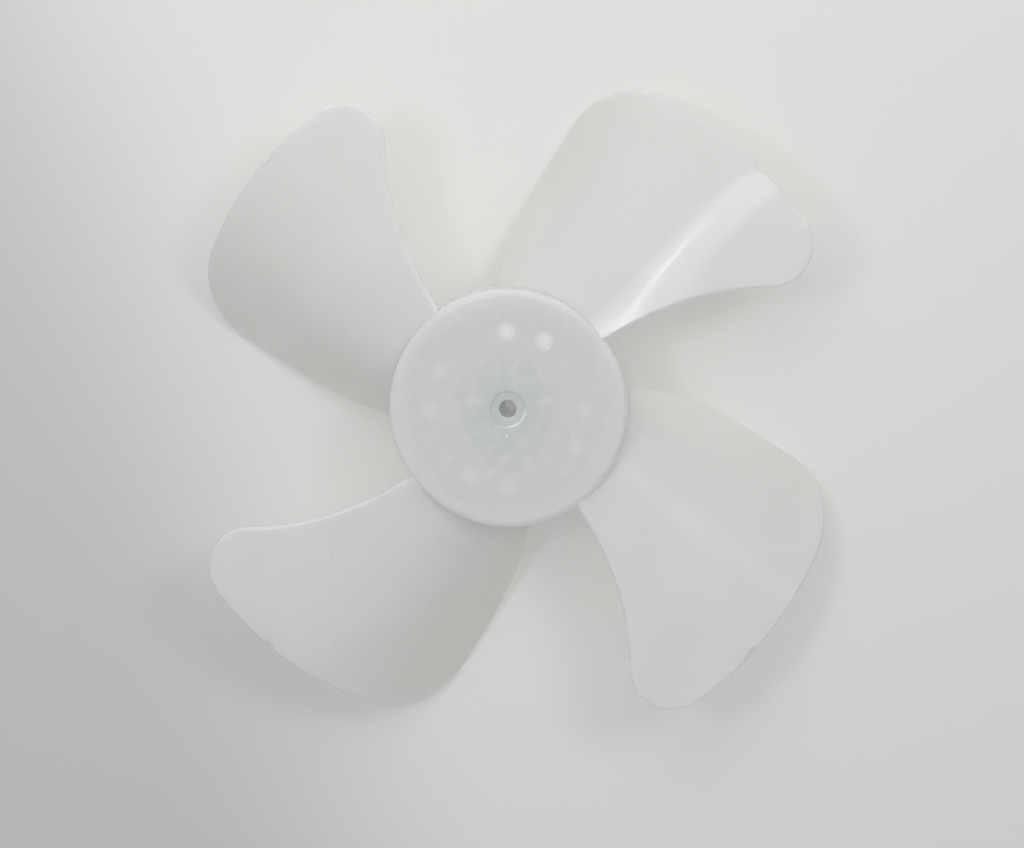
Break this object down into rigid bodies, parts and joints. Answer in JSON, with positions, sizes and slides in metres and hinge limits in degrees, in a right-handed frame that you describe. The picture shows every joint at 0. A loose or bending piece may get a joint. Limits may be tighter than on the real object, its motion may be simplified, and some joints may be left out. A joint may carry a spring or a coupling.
{
  "type": "axial fan blade",
  "caption": "Moulded axial fan blade with swept, cambered blades around a hollow round hub, pressed on a small motor shaft to move cold air in a refrigerator.",
  "frame": {"origin": "on the bore axis, in the plane of the four lowest trailing edges that the blade rests on", "axes": "+Z along the bore axis towards the closed hub face; +X to the right and +Y up as the picture shows the closed face"},
  "size_m": [0.109, 0.109, 0.0214],
  "materials": {
    "milky_plastic": "milky, slightly translucent, satin"
  },
  "bodies": {
    "root": {"fan_blade": "milky_plastic"}
  },
  "joints": []
}
